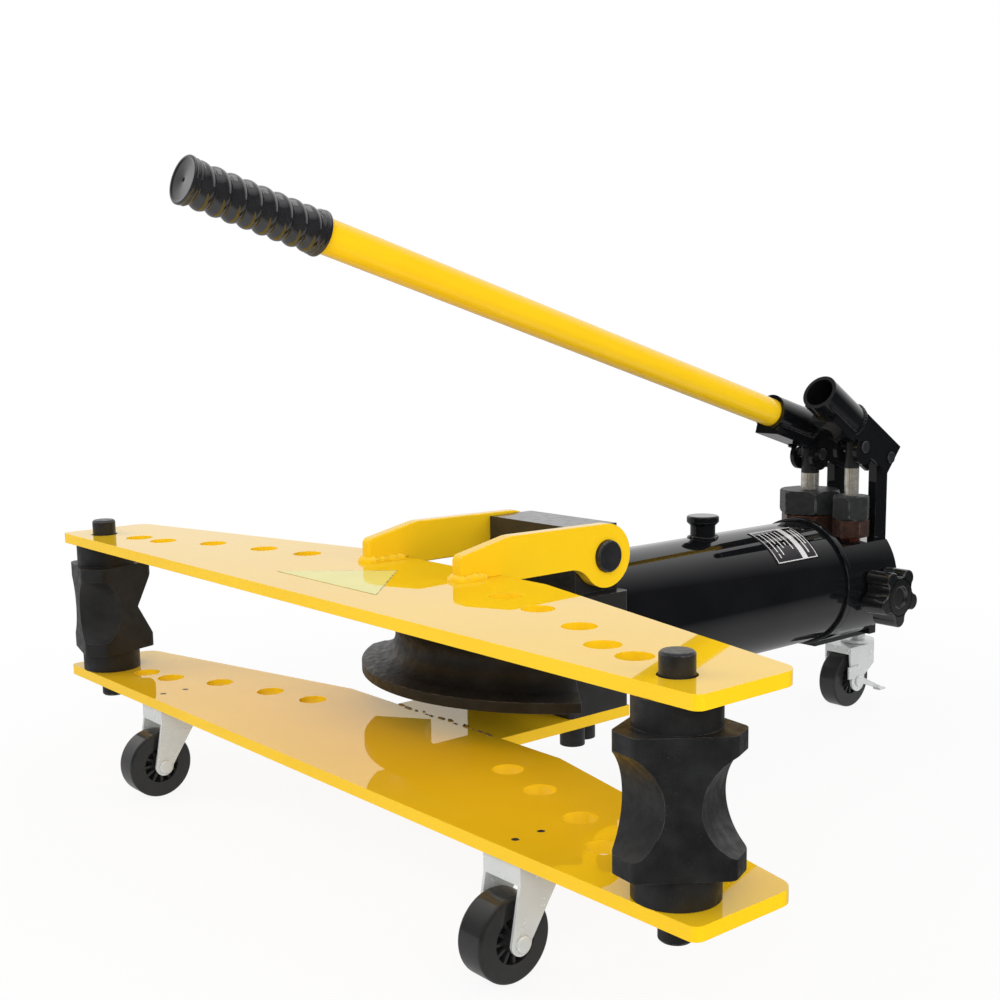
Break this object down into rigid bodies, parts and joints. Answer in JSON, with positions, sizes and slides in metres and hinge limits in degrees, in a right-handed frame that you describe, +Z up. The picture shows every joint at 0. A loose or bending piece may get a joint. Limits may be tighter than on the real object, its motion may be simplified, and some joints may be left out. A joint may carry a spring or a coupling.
{
  "type": "manual hydraulic pipe bender",
  "caption": "Wheeled hand-pumped pipe bending machine: hinged wing plates with turning rollers, a curved former on a ram, and a lever pump on a round oil tank.",
  "frame": {"origin": "on the floor, under the middle of the whole machine", "axes": "+X along the wing plates to the machine's right seen from the pump, +Y from the wing tips back to the pump, +Z up"},
  "size_m": [0.8819, 0.852, 0.5761],
  "materials": {
    "yellow_paint": "glossy yellow enamel with light orange peel",
    "gloss_black_paint": "glossy black enamel",
    "black_steel": "satin black oxide",
    "black_cast_iron": "semi-gloss black paint over sand-cast skin",
    "black_knob_plastic": "glossy moulded black",
    "black_grip_rubber": "shiny twisted black sleeve",
    "dark_nut_steel": "dark grey phosphated steel",
    "browned_steel": "steel with a brown copper-coloured film",
    "red_copper": "annealed red copper",
    "ground_steel": "ground bright steel",
    "plain_steel": "honed steel",
    "zinc_plated_steel": "bright zinc plating",
    "black_wheel_plastic": "black nylon tread, lightly marked",
    "printed_plate": "thin plate, black ground with plain white ruled lines"
  },
  "bodies": {
    "frame": {"lower_wing_plate": "yellow_paint", "front_block": "gloss_black_paint", "block_bolts": "black_steel", "hinge_pin": "black_steel", "oil_tank": "gloss_black_paint", "filler_boss": "gloss_black_paint", "tank_end_ring": "gloss_black_paint", "ram_cylinder": "plain_steel", "pump_body": "gloss_black_paint", "large_copper_washer": "red_copper", "small_copper_washer": "red_copper", "large_pump_barrel": "browned_steel", "small_pump_barrel": "browned_steel", "large_gland_nut": "dark_nut_steel", "small_gland_nut": "dark_nut_steel", "lever_posts": "gloss_black_paint", "left_pivot_pin": "black_steel", "right_pivot_pin": "black_steel", "data_plate": "printed_plate", "left_caster_bracket": "zinc_plated_steel", "right_caster_bracket": "zinc_plated_steel", "caster_screws": "zinc_plated_steel", "left_axle": "zinc_plated_steel", "right_axle": "zinc_plated_steel", "swivel_stem": "zinc_plated_steel", "stem_nut": "zinc_plated_steel"},
    "upper_wing": {"upper_wing_plate": "yellow_paint", "left_hinge_arm": "yellow_paint", "right_hinge_arm": "yellow_paint"},
    "left_roller": {"left_roller": "black_cast_iron"},
    "right_roller": {"right_roller": "black_cast_iron"},
    "left_roller_pin": {"left_roller_pin": "black_steel"},
    "right_roller_pin": {"right_roller_pin": "black_steel"},
    "ram": {"ram": "ground_steel", "ram_piston": "plain_steel", "bending_former": "black_cast_iron"},
    "left_lever": {"left_lever_socket": "gloss_black_paint"},
    "right_lever": {"right_lever_socket": "gloss_black_paint"},
    "handle": {"handle_tube": "yellow_paint", "handle_grip": "black_grip_rubber"},
    "large_plunger": {"large_plunger": "ground_steel", "large_plunger_eye": "black_steel", "large_plunger_pin": "black_steel"},
    "small_plunger": {"small_plunger": "ground_steel", "small_plunger_eye": "black_steel", "small_plunger_pin": "black_steel"},
    "release_valve": {"release_spindle": "black_steel", "release_knob": "black_knob_plastic"},
    "filler_cap": {"filler_cap": "gloss_black_paint"},
    "left_front_wheel": {"left_front_wheel": "black_wheel_plastic"},
    "right_front_wheel": {"right_front_wheel": "black_wheel_plastic"},
    "swivel": {"swivel_fork": "zinc_plated_steel", "rear_axle": "zinc_plated_steel"},
    "rear_wheel": {"rear_wheel": "black_wheel_plastic"},
    "brake_lever": {"brake_lever": "zinc_plated_steel"}
  },
  "joints": [
    {"name": "wing_hinge", "type": "hinge", "parent": "frame", "child": "upper_wing", "pos_m": [0, -0.07071, 0.2388], "axis": [-1, 0, 0], "range_deg": [0, 35]},
    {"name": "left_roller_turn", "type": "hinge", "parent": "frame", "child": "left_roller", "pos_m": [-0.3985, -0.33361, 0.1624], "axis": [0, 0, 1], "continuous": true},
    {"name": "right_roller_turn", "type": "hinge", "parent": "frame", "child": "right_roller", "pos_m": [0.3985, -0.33361, 0.1624], "axis": [0, 0, 1], "continuous": true},
    {"name": "left_pin_lift", "type": "slide", "parent": "frame", "child": "left_roller_pin", "axis": [0, 0, 1], "range_m": [0, 0.185]},
    {"name": "right_pin_lift", "type": "slide", "parent": "frame", "child": "right_roller_pin", "axis": [0, 0, 1], "range_m": [0, 0.185]},
    {"name": "ram_stroke", "type": "slide", "parent": "frame", "child": "ram", "axis": [0, -1, 0], "range_m": [0, 0.25]},
    {"name": "left_lever_swing", "type": "hinge", "parent": "frame", "child": "left_lever", "pos_m": [-0.0284, 0.39749, 0.2906], "axis": [-1, 0, 0], "range_deg": [-6, 25]},
    {"name": "right_lever_swing", "type": "hinge", "parent": "frame", "child": "right_lever", "pos_m": [0.0284, 0.39749, 0.2906], "axis": [-1, 0, 0], "range_deg": [-18, 8]},
    {"name": "handle_pull", "type": "slide", "parent": "left_lever", "child": "handle", "axis": [0, -0.9563, 0.2924], "range_m": [0, 0.058]},
    {"name": "large_plunger_stroke", "type": "slide", "parent": "frame", "child": "large_plunger", "axis": [0, 0, 1], "range_m": [-0.00619, 0.02563]},
    {"name": "small_plunger_stroke", "type": "slide", "parent": "frame", "child": "small_plunger", "axis": [0, 0, 1], "range_m": [-0.01756, 0.00783]},
    {"name": "release_turn", "type": "hinge", "parent": "frame", "child": "release_valve", "pos_m": [0.072, 0.34109, 0.1473], "axis": [1, 0, 0], "range_deg": [0, 360]},
    {"name": "filler_cap_turn", "type": "hinge", "parent": "frame", "child": "filler_cap", "pos_m": [0, 0.13599, 0.2377], "axis": [0, 0, 1], "continuous": true},
    {"name": "left_wheel_roll", "type": "hinge", "parent": "frame", "child": "left_front_wheel", "pos_m": [-0.2605, -0.35741, 0.0315], "axis": [1, 0, 0], "continuous": true},
    {"name": "right_wheel_roll", "type": "hinge", "parent": "frame", "child": "right_front_wheel", "pos_m": [0.2605, -0.35741, 0.0315], "axis": [1, 0, 0], "continuous": true},
    {"name": "rear_swivel", "type": "hinge", "parent": "frame", "child": "swivel", "pos_m": [0, 0.40699, 0.0725], "axis": [0, 0, 1], "continuous": true},
    {"name": "rear_wheel_roll", "type": "hinge", "parent": "swivel", "child": "rear_wheel", "pos_m": [0, 0.38199, 0.0325], "axis": [1, 0, 0], "continuous": true},
    {"name": "brake_lift", "type": "hinge", "parent": "swivel", "child": "brake_lever", "pos_m": [0, 0.38199, 0.0325], "axis": [1, 0, 0], "range_deg": [0, 30]}
  ],
  "couplings": [
    {"joint": "large_plunger_stroke", "follows": "left_lever_swing", "m_per_rad": 0.058631},
    {"joint": "small_plunger_stroke", "follows": "right_lever_swing", "m_per_rad": 0.055721}
  ]
}
